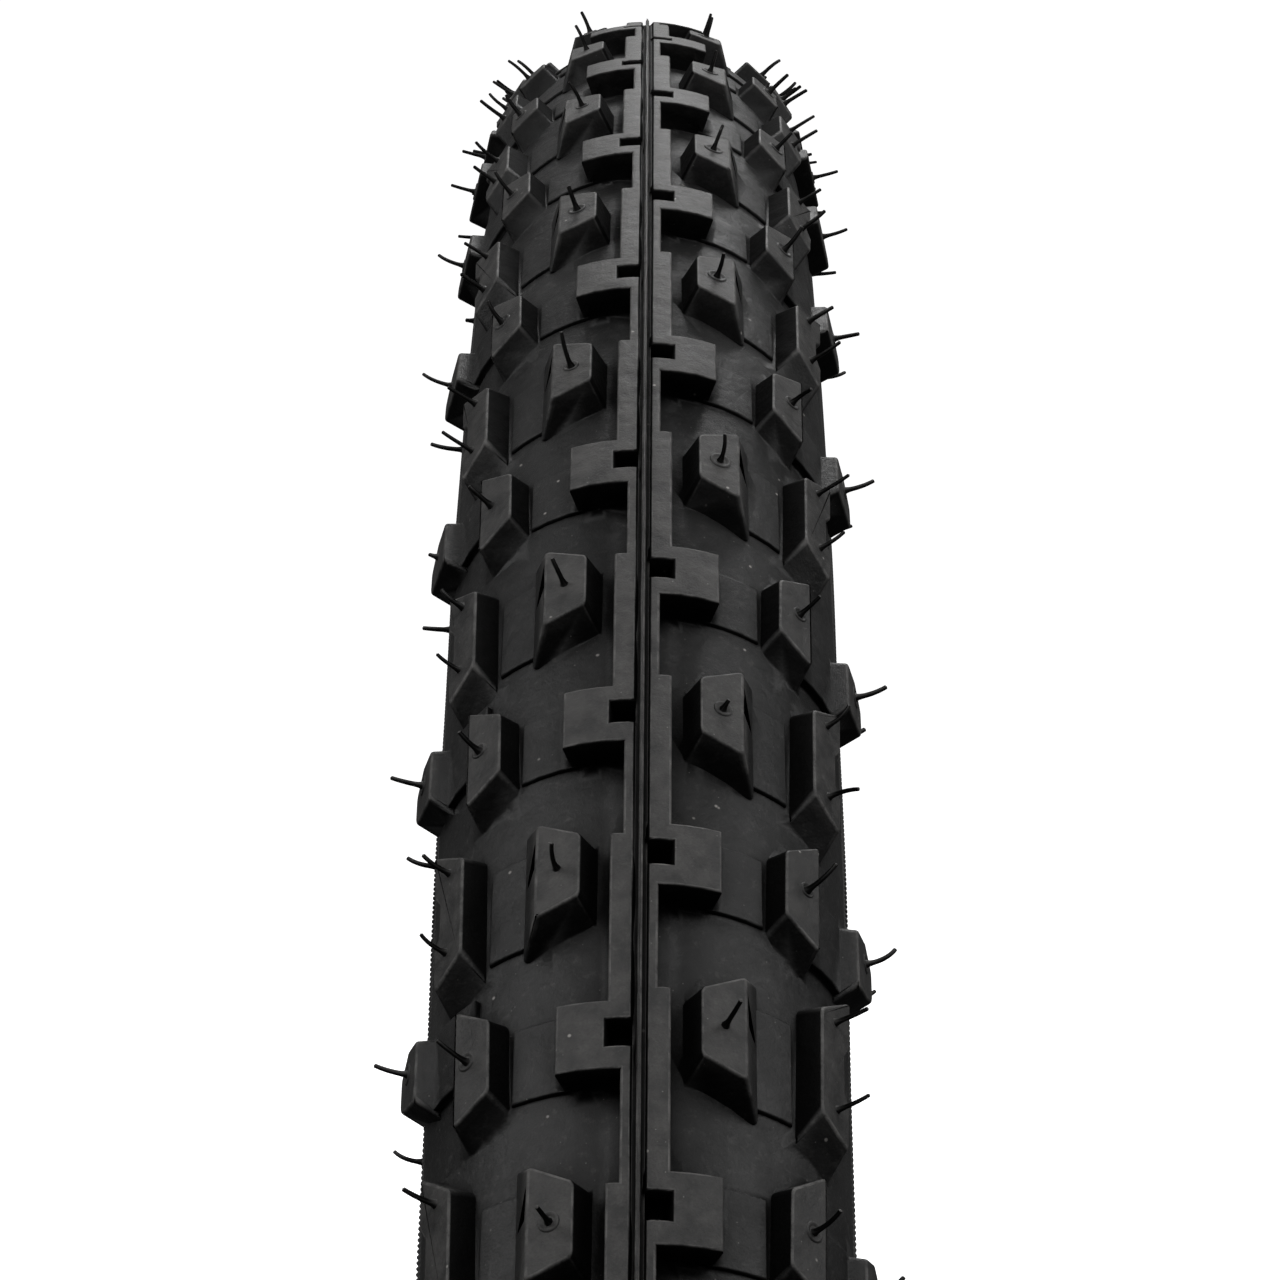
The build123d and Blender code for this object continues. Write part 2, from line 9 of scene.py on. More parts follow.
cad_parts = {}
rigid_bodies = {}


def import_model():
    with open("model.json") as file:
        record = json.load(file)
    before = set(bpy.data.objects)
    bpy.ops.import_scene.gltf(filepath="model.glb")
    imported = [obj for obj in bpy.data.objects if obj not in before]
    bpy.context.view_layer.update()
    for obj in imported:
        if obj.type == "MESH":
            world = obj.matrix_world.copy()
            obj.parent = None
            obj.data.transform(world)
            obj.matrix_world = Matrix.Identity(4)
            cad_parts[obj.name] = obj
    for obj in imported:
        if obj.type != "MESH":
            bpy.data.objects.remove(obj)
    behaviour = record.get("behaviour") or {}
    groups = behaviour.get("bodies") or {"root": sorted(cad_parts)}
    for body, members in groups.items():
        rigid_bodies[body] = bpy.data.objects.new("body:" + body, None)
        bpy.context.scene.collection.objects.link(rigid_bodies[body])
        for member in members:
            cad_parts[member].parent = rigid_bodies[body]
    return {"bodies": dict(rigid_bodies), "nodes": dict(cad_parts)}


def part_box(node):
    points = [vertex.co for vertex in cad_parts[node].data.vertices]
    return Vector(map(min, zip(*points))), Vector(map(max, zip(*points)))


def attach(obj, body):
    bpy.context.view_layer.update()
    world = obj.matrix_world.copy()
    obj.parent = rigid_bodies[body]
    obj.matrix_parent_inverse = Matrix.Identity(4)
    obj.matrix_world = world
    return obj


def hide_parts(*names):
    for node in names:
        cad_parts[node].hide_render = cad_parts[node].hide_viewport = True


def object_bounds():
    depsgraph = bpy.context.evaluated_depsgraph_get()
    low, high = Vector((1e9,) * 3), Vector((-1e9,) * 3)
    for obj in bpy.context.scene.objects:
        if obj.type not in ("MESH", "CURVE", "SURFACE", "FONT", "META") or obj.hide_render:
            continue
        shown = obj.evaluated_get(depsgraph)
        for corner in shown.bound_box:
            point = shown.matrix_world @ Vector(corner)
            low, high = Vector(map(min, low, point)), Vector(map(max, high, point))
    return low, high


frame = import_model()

for startup in ("Cube", "Light", "Camera"):
    if startup in bpy.data.objects:
        bpy.data.objects.remove(bpy.data.objects[startup])
CAD_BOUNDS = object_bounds()
BODY = next(iter(frame["bodies"]))
NODES = frame["nodes"]
SIDES = ("left", "right")
WHISKER_ROWS = ("mid", "short_shoulder", "long_shoulder", "side", "sidewall")
MM = 0.001
random.seed(1950)

# ---- places on the tire, from the frame ----------------------------------------------
BODY_ARC = 20.1 * MM         # radius of the rubber's round section
BELT_COVER = 1.35 * MM       # rubber between the belt's top and the skin on the crown
RIDGE_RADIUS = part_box("tread")[1].z          # over the parting ridge on the crown
CROWN_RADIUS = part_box("puncture_belt")[1].z + BELT_COVER
ARC_CENTRE_RADIUS = CROWN_RADIUS - BODY_ARC
WELD = 0.002 * MM            # corners closer than this are one corner


# ---- small helpers ------------------------------------------------------------------
def new_piece(name, mesh, slot, *stands_for):
    """Link a mesh as a piece that rides on the tire. The slot argument is not used."""
    piece = bpy.data.objects.new(name, mesh)
    bpy.context.scene.collection.objects.link(piece)
    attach(piece, BODY)
    if stands_for:
        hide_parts(*stands_for)
    return piece


def mesh_from(name, verts, faces):
    mesh = bpy.data.meshes.new(name)
    mesh.from_pydata(verts, [], faces)
    mesh.validate()
    return mesh


def smooth(mesh, angle=35.0):
    """Smooth shading that keeps edges sharper than angle, in degrees."""
    mesh.polygons.foreach_set("use_smooth", [True] * len(mesh.polygons))
    mesh.set_sharp_from_angle(angle=math.radians(angle))


def on_section(heading, radius):
    """(y, distance from the axle) of a point at a polar place on the round section.
    heading is in degrees up from the +Y side."""
    angle = math.radians(heading)
    return radius * math.cos(angle), ARC_CENTRE_RADIUS + radius * math.sin(angle)


# ---- materials ----------------------------------------------------------------------
EDGE_HIGHLIGHT = "edge_highlight"                # attribute that marks the tread's rounded edges for their painted highlight
KNOB_TOP_TONE = (1.6, 2.7)     # mm over the skin, where the knobs' lighter tops take over: partly dust, partly painted light
GROOVE = (0.5 * MM, 0.62 * MM)       # half the width of the painted shade in the groove between the rails, and its fade
GROOVE_TOP = (3.2, 3.4)      # mm over the skin, where that painted shade ends and the fin stands out
HOLLOW_REACH = 6.0 * MM      # how far the painted shade beside a knob reaches over the skin
RUBBER_SPECULAR = 0.17
# Specular of the near-black shader that paints shade.
PAINTED_SHADE_SPECULAR = 0.02
CORDS_ROUND = 3240.0         # sidewall cords that show through, round the wheel
CORD_LEAN = 1900.0           # their lean, in radians for each metre outward
WEAVE_RADIUS = 0.285         # of the weave round the beads, in metres
CASING_RADIUS = 0.31         # of the casing plies, in metres
CASING_ARC = 0.0185          # and of their round section
BIAS = 0.707                 # the cords lie at 45 degrees
EXTRUSION_LINES = 9000.0     # radians for each metre across the bead filler
DRAWING_STRETCH = 0.02       # the wires' drawing marks are drawn out along the wire


class Nodes:
    """Shorthand for building one material's node tree."""

    def __init__(self, name):
        self.material = bpy.data.materials.new(name)
        self.material.use_nodes = True
        self.tree = self.material.node_tree
        self.shader = self.tree.nodes["Principled BSDF"]
        self.place = self.add("ShaderNodeTexCoord").outputs["Object"]

    def add(self, kind, **settings):
        node = self.tree.nodes.new(kind)
        for key, value in settings.items():
            setattr(node, key, value)
        return node

    def link(self, source, target):
        self.tree.links.new(source, target)

    def feed(self, socket, value):
        """A socket takes either another socket or a constant."""
        if isinstance(value, bpy.types.NodeSocket):
            self.link(value, socket)
        else:
            socket.default_value = value

    def math(self, operation, a, b=0.0, c=0.0, clamp=False):
        node = self.add("ShaderNodeMath", operation=operation, use_clamp=clamp)
        for socket, value in zip(node.inputs, (a, b, c)):
            self.feed(socket, value)
        return node.outputs[0]

    def noise(self, per_mm, detail=4.0, roughness=0.55, vector=None):
        """Noise with a number of features per millimetre."""
        node = self.add("ShaderNodeTexNoise")
        self.link(vector or self.place, node.inputs["Vector"])
        node.inputs["Scale"].default_value = per_mm / MM
        node.inputs["Detail"].default_value = detail
        node.inputs["Roughness"].default_value = roughness
        return node.outputs["Fac"]

    def ramp(self, value, low, high, to_low=0.0, to_high=1.0):
        node = self.add("ShaderNodeMapRange", clamp=True)
        self.feed(node.inputs["Value"], value)
        node.inputs["From Min"].default_value = low
        node.inputs["From Max"].default_value = high
        node.inputs["To Min"].default_value = to_low
        node.inputs["To Max"].default_value = to_high
        return node.outputs[0]

    def mix(self, factor, a, b):
        node = self.add("ShaderNodeMix", data_type="RGBA")
        self.feed(node.inputs["Factor"], factor)
        self.feed(node.inputs["A"], a)
        self.feed(node.inputs["B"], b)
        return node.outputs["Result"]

    def bump(self, height, depth_mm, below=None):
        node = self.add("ShaderNodeBump")
        node.inputs["Strength"].default_value = 1.0
        node.inputs["Distance"].default_value = depth_mm * MM
        self.link(height, node.inputs["Height"])
        if below is not None:
            self.link(below, node.inputs["Normal"])
        return node.outputs["Normal"]

    def round_the_wheel(self):
        """(angle about the axle in radians, distance from the axle, y) of the place."""
        parts = self.add("ShaderNodeSeparateXYZ")
        self.link(self.place, parts.inputs[0])
        x, y, z = parts.outputs
        angle = self.math("ARCTAN2", z, x)
        squares = self.math("ADD", self.math("MULTIPLY", x, x), self.math("MULTIPLY", z, z))
        return angle, self.math("SQRT", squares), y

    def unlit_walls(self):
        """1 on the walls that face the mid plane or down the wheel's front, and 0 on the
        rest. Those walls are made near black as a look, whatever light falls on them."""
        normal = self.add("ShaderNodeSeparateXYZ")
        self.link(self.add("ShaderNodeNewGeometry").outputs["Normal"], normal.inputs[0])
        place = self.add("ShaderNodeSeparateXYZ")
        self.link(self.place, place.inputs[0])
        _, radius, y = self.round_the_wheel()
        outward = self.math("MULTIPLY", normal.outputs[1], self.math("SIGN", y))
        inward = self.ramp(outward, -0.1, -0.5)
        along = self.math("SUBTRACT", self.math("MULTIPLY", normal.outputs[0], place.outputs[2]),
                          self.math("MULTIPLY", normal.outputs[2], place.outputs[0]))
        forward = self.ramp(self.math("DIVIDE", along, radius), 0.35, 0.8, 0.0, 0.75)
        return self.math("MAXIMUM", inward, forward)

    def height_over_skin(self):
        """How far the place stands over the round carcass rubber, in millimetres."""
        _, radius, y = self.round_the_wheel()
        up = self.math("SUBTRACT", radius, ARC_CENTRE_RADIUS)
        squares = self.math("ADD", self.math("MULTIPLY", up, up), self.math("MULTIPLY", y, y))
        over = self.math("SUBTRACT", self.math("SQRT", squares), BODY_ARC)
        return self.math("MULTIPLY", over, 1.0 / MM)


def grey(value, warmth=0.0):
    return (value * (1.0 + warmth), value, value * (1.0 - warmth), 1.0)


def tread_rubber():
    """Moulded black rubber: matte with a faint dust on the knobs' tops, which are lighter partly as
    painted light, with painted highlights on the rounded edges and crumbs of dust, and darker
    between as painted shade."""
    n = Nodes("tread_rubber")
    height = n.height_over_skin()
    raised = n.ramp(height, *KNOB_TOP_TONE)
    broad = n.noise(0.05, 3.0)
    patches = n.noise(0.35, 5.0, 0.6)
    fine = n.noise(4.0, 5.0, 0.65)
    # The raised tops take a lighter grey than the skin: partly dust, partly painted light on the
    # tops and painted shade on the skin between.
    base = n.mix(n.ramp(broad, 0.35, 0.65), grey(0.005), grey(0.012, 0.01))
    tops = n.mix(n.ramp(patches, 0.34, 0.66), grey(0.017, 0.01), grey(0.046, 0.03))
    dust_and_lit_tops = n.math("MULTIPLY", raised, n.ramp(fine, 0.25, 0.7, 0.5, 1.0))
    colour = n.mix(dust_and_lit_tops, base, tops)
    smears = n.ramp(n.noise(0.9, 6.0, 0.72), 0.56, 0.78)
    colour = n.mix(n.math("MULTIPLY", smears, 0.4), colour, grey(0.075, 0.04))
    # Painted highlight: the rounded edges on the raised knobs take a lighter grey, broken up by
    # noise.
    edge_highlight_faces = n.add("ShaderNodeAttribute", attribute_type="GEOMETRY", attribute_name=EDGE_HIGHLIGHT)
    painted_edge_highlight = n.math("MULTIPLY", edge_highlight_faces.outputs["Fac"],
                    n.ramp(n.noise(0.5, 5.0, 0.65), 0.42, 0.68, 0.0, 0.75))
    colour = n.mix(n.math("MULTIPLY", painted_edge_highlight, n.ramp(height, 1.0, 2.4)), colour, grey(0.085, 0.03))
    crumbs = n.math("MULTIPLY", bloom_specks(n, 0.5, 0.86), 0.7)
    colour = n.mix(crumbs, colour, grey(0.25, 0.05))
    grains = n.math("MULTIPLY", bloom_specks(n, 1.3, 0.86), 0.5)
    colour = n.mix(grains, colour, grey(0.18, 0.03))
    n.link(colour, n.shader.inputs["Base Color"])
    rough = n.math("ADD", n.ramp(patches, 0.25, 0.75, 0.42, 0.58), n.math("MULTIPLY", raised, 0.08))
    n.link(n.math("ADD", rough, n.ramp(fine, 0.3, 0.7, -0.06, 0.06)), n.shader.inputs["Roughness"])
    n.shader.inputs["Specular IOR Level"].default_value = RUBBER_SPECULAR
    low = n.bump(n.noise(0.16, 3.0), 0.3)
    ripple = n.bump(patches, 0.2, low)
    grain = n.bump(fine, 0.045, ripple)
    n.link(grain, n.shader.inputs["Normal"])
    # Painted shade: a near-black shader without gloss is mixed in on unlit walls, in the groove
    # between the rails and on the skin beside the knobs.
    both = n.add("ShaderNodeMixShader")
    n.link(painted_shade_places(n, height), both.inputs[0])
    n.link(n.shader.outputs[0], both.inputs[1])
    n.link(painted_shade_rubber(n, fine, grain), both.inputs[2])
    n.link(both.outputs[0], n.tree.nodes["Material Output"].inputs["Surface"])
    return n.material


def painted_shade_rubber(n, fine, grain):
    """Near-black shader without gloss that paints shade on the places kept dark as a look."""
    dull = n.add("ShaderNodeBsdfPrincipled")
    n.link(n.mix(n.ramp(fine, 0.3, 0.7), grey(0.0006), grey(0.0018)), dull.inputs["Base Color"])
    dull.inputs["Roughness"].default_value = 0.75
    dull.inputs["Specular IOR Level"].default_value = PAINTED_SHADE_SPECULAR
    n.link(grain, dull.inputs["Normal"])
    return dull.outputs[0]


def painted_shade_places(n, height):
    """1 where painted shade goes on the rubber: on unlit walls, in the groove between the rails,
    and on the skin close to the knobs."""
    _, _, y = n.round_the_wheel()
    # Painted shade in the groove between the rails, stopping short of the fin.
    near_middle = n.ramp(n.math("ABSOLUTE", y), *GROOVE, 1.0, 0.0)
    groove = n.math("MULTIPLY", near_middle, n.ramp(height, *GROOVE_TOP, 0.85, 0.0))
    # Painted shade on the low skin where ambient occlusion finds it closed in by the knobs.
    open_sky = n.add("ShaderNodeAmbientOcclusion", samples=6)
    open_sky.inputs["Distance"].default_value = HOLLOW_REACH
    hollow = n.math("MULTIPLY", n.ramp(open_sky.outputs["AO"], 0.95, 0.45, 0.0, 0.85),
                    n.ramp(height, 1.2, 2.2, 1.0, 0.0))
    return n.math("MAXIMUM", n.math("MAXIMUM", n.unlit_walls(), groove), hollow)


def bloom_specks(n, per_mm, rarity):
    """Scattered pale crumbs of dust, as a mask."""
    specks = n.add("ShaderNodeTexVoronoi", feature="F1")
    n.link(n.place, specks.inputs["Vector"])
    specks.inputs["Scale"].default_value = per_mm / MM
    chosen = n.add("ShaderNodeSeparateColor")
    n.link(specks.outputs["Color"], chosen.inputs[0])
    near = n.ramp(specks.outputs["Distance"], 0.05, 0.11, 1.0, 0.0)
    return n.math("MULTIPLY", near, n.ramp(chosen.outputs[0], rarity, rarity + 0.02))


def sidewall_rubber():
    """Thin rubber with the carcass cords showing through as fine ribs."""
    n = Nodes("sidewall_rubber")
    angle, radius, _ = n.round_the_wheel()
    along = n.math("MULTIPLY", angle, CORDS_ROUND)
    lean = n.math("MULTIPLY", radius, CORD_LEAN)
    cords = n.math("SINE", n.math("ADD", along, lean))
    patches = n.noise(0.12, 4.0)
    fine = n.noise(3.0, 5.0, 0.6)
    colour = n.mix(n.ramp(patches, 0.3, 0.7), grey(0.014), grey(0.028, 0.02))
    colour = n.mix(n.ramp(fine, 0.62, 0.85, 0.0, 0.25), colour, grey(0.05, 0.03))
    n.link(colour, n.shader.inputs["Base Color"])
    n.link(n.ramp(fine, 0.3, 0.7, 0.5, 0.66), n.shader.inputs["Roughness"])
    n.shader.inputs["Specular IOR Level"].default_value = 0.4
    ribs = n.bump(cords, 0.05)
    n.link(n.bump(fine, 0.03, ribs), n.shader.inputs["Normal"])
    return n.material


def woven(name, dark, light, thread_mm, roughness, depth_mm, sheen=0.0, warmth=0.0):
    """Rubberised plain weave, threads round the wheel and across it."""
    n = Nodes(name)
    angle, radius, y = n.round_the_wheel()
    reach = 2.0 * math.pi / (thread_mm * MM)
    warp = n.math("SINE", n.math("MULTIPLY", angle, reach * WEAVE_RADIUS))
    across = n.math("ADD", radius, n.math("MULTIPLY", y, 0.8))
    weft = n.math("SINE", n.math("MULTIPLY", across, reach))
    weave = n.math("MULTIPLY", warp, weft)
    patches = n.noise(0.2, 4.0)
    fine = n.noise(5.0, 4.0)
    tone = n.math("ADD", n.ramp(weave, -1.0, 1.0, 0.15, 0.75),
                  n.ramp(patches, 0.3, 0.7, -0.2, 0.25))
    n.link(n.mix(tone, grey(dark, warmth), grey(light, warmth)), n.shader.inputs["Base Color"])
    n.link(n.ramp(fine, 0.3, 0.7, roughness - 0.08, roughness + 0.1),
           n.shader.inputs["Roughness"])
    n.shader.inputs["Sheen Weight"].default_value = sheen
    n.shader.inputs["Specular IOR Level"].default_value = 0.35
    threads = n.bump(weave, depth_mm)
    n.link(n.bump(fine, 0.02, threads), n.shader.inputs["Normal"])
    return n.material


def cord_ply(name, lean, dark, light, cord_mm=0.62):
    """Parallel cords laid on the bias under a skim of rubber."""
    n = Nodes(name)
    angle, radius, y = n.round_the_wheel()
    reach = 2.0 * math.pi / (cord_mm * MM)
    up = n.math("SUBTRACT", radius, ARC_CENTRE_RADIUS)
    turn = n.math("ARCTAN2", y, up)
    along = n.math("MULTIPLY", angle, reach * CASING_RADIUS * BIAS)
    around = n.math("MULTIPLY", turn, reach * CASING_ARC * BIAS * lean)
    cords = n.math("SINE", n.math("ADD", along, around))
    patches = n.noise(0.08, 4.0)
    fine = n.noise(3.5, 5.0)
    tone = n.math("ADD", n.ramp(cords, -1.0, 1.0, 0.1, 0.7),
                  n.ramp(patches, 0.3, 0.7, -0.2, 0.3))
    n.link(n.mix(tone, grey(dark, 0.12), grey(light, 0.12)), n.shader.inputs["Base Color"])
    n.link(n.ramp(fine, 0.3, 0.7, 0.5, 0.7), n.shader.inputs["Roughness"])
    ribs = n.bump(cords, 0.11)
    n.link(n.bump(fine, 0.03, ribs), n.shader.inputs["Normal"])
    return n.material


def filler_rubber():
    """Hard black rubber with extrusion lines round the wheel."""
    n = Nodes("filler_rubber")
    _, radius, y = n.round_the_wheel()
    lines = n.math("SINE", n.math("MULTIPLY", n.math("ADD", radius, y), EXTRUSION_LINES))
    fine = n.noise(3.0, 5.0)
    n.link(n.mix(n.ramp(fine, 0.3, 0.7), grey(0.012), grey(0.03, 0.02)),
           n.shader.inputs["Base Color"])
    n.link(n.ramp(fine, 0.3, 0.7, 0.42, 0.58), n.shader.inputs["Roughness"])
    n.link(n.bump(fine, 0.03, n.bump(lines, 0.03)), n.shader.inputs["Normal"])
    return n.material


def bronzed_wire():
    """Bronze-coated steel wire with drawing marks and dull patches."""
    n = Nodes("bronzed_wire")
    angle, radius, y = n.round_the_wheel()
    spread = n.add("ShaderNodeCombineXYZ")
    n.feed(spread.inputs[0], n.math("MULTIPLY", angle, DRAWING_STRETCH))
    n.feed(spread.inputs[1], y)
    n.feed(spread.inputs[2], radius)
    drawn = n.noise(9.0, 3.0, vector=spread.outputs[0])
    patches = n.noise(0.4, 4.0)
    colour = n.mix(n.ramp(patches, 0.35, 0.65), (0.52, 0.36, 0.2, 1.0), (0.38, 0.28, 0.18, 1.0))
    n.link(n.mix(n.ramp(drawn, 0.55, 0.8, 0.0, 0.5), colour, (0.2, 0.16, 0.12, 1.0)),
           n.shader.inputs["Base Color"])
    n.shader.inputs["Metallic"].default_value = 1.0
    n.link(n.ramp(drawn, 0.3, 0.7, 0.25, 0.45), n.shader.inputs["Roughness"])
    n.link(n.bump(drawn, 0.01), n.shader.inputs["Normal"])
    return n.material


def floor_paper():
    """Seamless white studio paper."""
    n = Nodes("floor_paper")
    fibres = n.noise(0.8, 4.0)
    n.link(n.mix(n.ramp(fibres, 0.3, 0.7), grey(0.86), grey(0.9)),
           n.shader.inputs["Base Color"])
    n.shader.inputs["Roughness"].default_value = 0.9
    n.shader.inputs["Specular IOR Level"].default_value = 0.1
    n.shader.inputs["Emission Color"].default_value = (1.0, 1.0, 1.0, 1.0)
    n.shader.inputs["Emission Strength"].default_value = 0.85
    n.link(n.bump(fibres, 0.03), n.shader.inputs["Normal"])
    return n.material


# ---- tread --------------------------------------------------------------------------
FLAT_WITHIN = 0.6            # degrees between triangles that are one flat face
SMOOTH_BELOW = 34.0          # degrees: shading turns smoothly across gentler edges
CORNER_TURN = 40.0           # degrees: upright corners sharper than this are rounded
TOP_TURN = 24.0              # and top edges sharper than this
RAIL_FLANK = 3.6 * MM        # the rails' walls stand no farther from the mid plane
LUG_WALL = (7.1 * MM, 8.1 * MM)      # and the lugs' outer walls stand between these
EDGE_ROUND = 0.26 * MM       # rounding of the knobs' top edges
CORNER_ROUND = 0.55 * MM     # and of the corners between their walls


def welded_copy(node):
    """The node's own shape as a new mesh with its flat faces whole."""
    mesh = NODES[node].data.copy()
    work = bmesh.new()
    work.from_mesh(mesh)
    bmesh.ops.remove_doubles(work, verts=work.verts, dist=WELD)
    bmesh.ops.dissolve_limit(work, angle_limit=math.radians(FLAT_WITHIN),
                             verts=work.verts, edges=work.edges)
    return mesh, work


def straight_out(place):
    """Direction that points straight out of the round section at a place, and how far
    the place stands over the skin."""
    flat = math.hypot(place.x, place.z)
    heart = Vector((place.x, 0.0, place.z)) * (ARC_CENTRE_RADIUS / flat)
    return (place - heart).normalized(), (place - heart).length - BODY_ARC


def crisp_edges(work, turn, wanted):
    """Outer edges sharper than turn degrees that wanted(end, end, out, height) accepts."""
    found = []
    for edge in work.edges:
        if len(edge.link_faces) != 2 or edge.calc_face_angle_signed() < math.radians(turn):
            continue
        a, b = (v.co for v in edge.verts)
        out, height = straight_out((a + b) / 2)
        if height > 0.0 and wanted(a, b, out, height):
            found.append(edge)
    return found


def is_corner(a, b, out, height):
    """An upright edge of a free-standing knob. The rails' own lugs keep sharp corners."""
    length = (b - a).length
    across = abs(a.y + b.y) / 2
    on_lug = across < RAIL_FLANK or LUG_WALL[0] < across < LUG_WALL[1]
    upright = abs((b - a).dot(out)) > 0.55 * length
    return not on_lug and length > 1.5 * MM and height > 0.6 * MM and upright


def is_top_edge(a, b, out, _):
    """An edge that lies along the tread, not up a wall."""
    length = (b - a).length
    return length > 0.25 * MM and abs((b - a).dot(out)) < 0.45 * length


def moulded_tread(material):
    """The tread with the roundings that a mould leaves on every knob."""
    mesh, work = welded_copy("tread")
    edge_highlight = work.faces.layers.float.new(EDGE_HIGHLIGHT)
    roundings = (
        (is_corner, CORNER_TURN, CORNER_ROUND, 3),
        (is_top_edge, TOP_TURN, EDGE_ROUND, 2),
    )
    for pick, turn, offset, segments in roundings:
        rounded = bmesh.ops.bevel(
            work, geom=crisp_edges(work, turn, pick), offset=offset, offset_type="OFFSET",
            segments=segments, profile=0.5, affect="EDGES", clamp_overlap=False)
        # The rounded faces are marked for the painted edge highlight.
        for face in rounded["faces"]:
            face[edge_highlight] = 1.0
    work.to_mesh(mesh)
    work.free()
    mesh.materials.clear()
    mesh.materials.append(material)
    smooth(mesh, SMOOTH_BELOW)
    piece = new_piece("moulded_tread", mesh, "tread_rubber", "tread")
    weighted = piece.modifiers.new("flat faces stay flat", "WEIGHTED_NORMAL")
    weighted.keep_sharp = True
    weighted.weight = 80
    return piece


FLASH_STEPS = 1620
FLASH_ROOT = 0.25            # mm that the fin reaches down into the ridge


def parting_flash(material):
    """The thin, slightly wandering fin where the two halves of the mould met."""
    verts, faces = [], []
    for i in range(FLASH_STEPS):
        angle = 2 * math.pi * i / FLASH_STEPS
        wander = (0.05 * math.sin(11 * angle + 0.4) + 0.04 * math.sin(47 * angle)
                  + 0.02 * math.sin(181 * angle))
        lift = 0.16 + 0.07 * math.sin(29 * angle + 1.0) + 0.05 * math.sin(133 * angle)
        foot = -FLASH_ROOT
        for across, up in ((-0.16, foot), (-0.07, lift), (0.05, lift * 0.9), (0.15, foot)):
            radius = RIDGE_RADIUS + up * MM
            verts.append((radius * math.cos(angle), (across + wander) * MM,
                          radius * math.sin(angle)))
        for k in range(4):
            j = (i + 1) % FLASH_STEPS
            faces.append((4 * i + k, 4 * i + (k + 1) % 4, 4 * j + (k + 1) % 4, 4 * j + k))
    mesh = mesh_from("parting_flash", verts, faces)
    mesh.materials.append(material)
    smooth(mesh, 50.0)
    return new_piece("parting_flash", mesh, "tread_rubber")


# ---- vent whiskers ------------------------------------------------------------------
WHISKER_SIDES = 7
WHISKER_STEPS = 12
WHISKER_ROOT = 0.25 * MM     # how deep a whisker starts in the rubber
WHISKER_TAPER = 0.22         # share of its thickness that it loses towards the tip
TIP_POINT = 0.12 * MM
TIP_ZONE = 0.6 * MM          # corners of a CAD whisker this near its tip mark the tip
ROOT_ZONE = 1.0 * MM         # and its root
SHORTENED = 0.96             # cut repeatedly off a whisker that leaves the model's box
BROKEN_SHARE = 0.05          # whiskers torn off short
CURLED_SHARE = 0.85          # whiskers that took a clear bend
CRATER_SHARE = 0.75          # whiskers on the flat tops that have a raised ring
CRATER_ROWS = ("mid", "short_shoulder", "side")
CRATER_SIDES = 16
CRATER_SINK = 0.03           # mm that the ring's foot lies below the rubber
WHISKER_MARGIN = 0.3 * MM    # kept free between a whisker's tip and the model's box
CONE = [(0.0, 0.62), (0.3, 0.45), (0.65, 0.33), (1.1, 0.28)]      # (along, radius) in mm
CRATER = [(0.46, 0.0), (0.66, 0.06), (0.8, 0.17), (0.93, 0.16), (1.05, 0.0)]   # (out, up) in mm


def whisker_places(node):
    """(root, direction, length) of each whisker solid in a CAD node."""
    work = bmesh.new()
    work.from_mesh(NODES[node].data)
    bmesh.ops.remove_doubles(work, verts=work.verts, dist=WELD)
    places, seen = [], set()
    for start in work.verts:
        if start.index in seen:
            continue
        group, front = [], [start]
        seen.add(start.index)
        while front:
            vert = front.pop()
            group.append(vert.co.copy())
            for edge in vert.link_edges:
                other = edge.other_vert(vert)
                if other.index not in seen:
                    seen.add(other.index)
                    front.append(other)
        places.append(whisker_axis(group))
    work.free()
    return places


def whisker_axis(points):
    """(root, direction, length) of one CAD whisker, from its corners."""
    middle = sum(points, Vector()) / len(points)
    flat = math.hypot(middle.x, middle.z)
    heart = Vector((middle.x, 0.0, middle.z)) * (ARC_CENTRE_RADIUS / flat)
    points = sorted(points, key=lambda p: (p - heart).length)
    far = [p for p in points if (p - points[-1]).length < TIP_ZONE]
    near = [p for p in points if (p - points[0]).length < ROOT_ZONE]
    tip = sum(far, Vector()) / len(far)
    root = sum(near, Vector()) / len(near)
    direction = (tip - root).normalized()
    lowest = min(p.dot(direction) for p in points)
    root += direction * (lowest - root.dot(direction))
    return root, direction, (tip - root).length


def add_ring(verts, faces, centre, normal, side, radius, first):
    """One ring of a tube; joins it to the ring before unless it's the first."""
    other = normal.cross(side).normalized()
    base = len(verts)
    for k in range(WHISKER_SIDES):
        a = 2 * math.pi * k / WHISKER_SIDES
        verts.append(centre + (side * math.cos(a) + other * math.sin(a)) * radius)
    if not first:
        for k in range(WHISKER_SIDES):
            j = (k + 1) % WHISKER_SIDES
            faces.append((base + k, base + j, base - WHISKER_SIDES + j, base - WHISKER_SIDES + k))


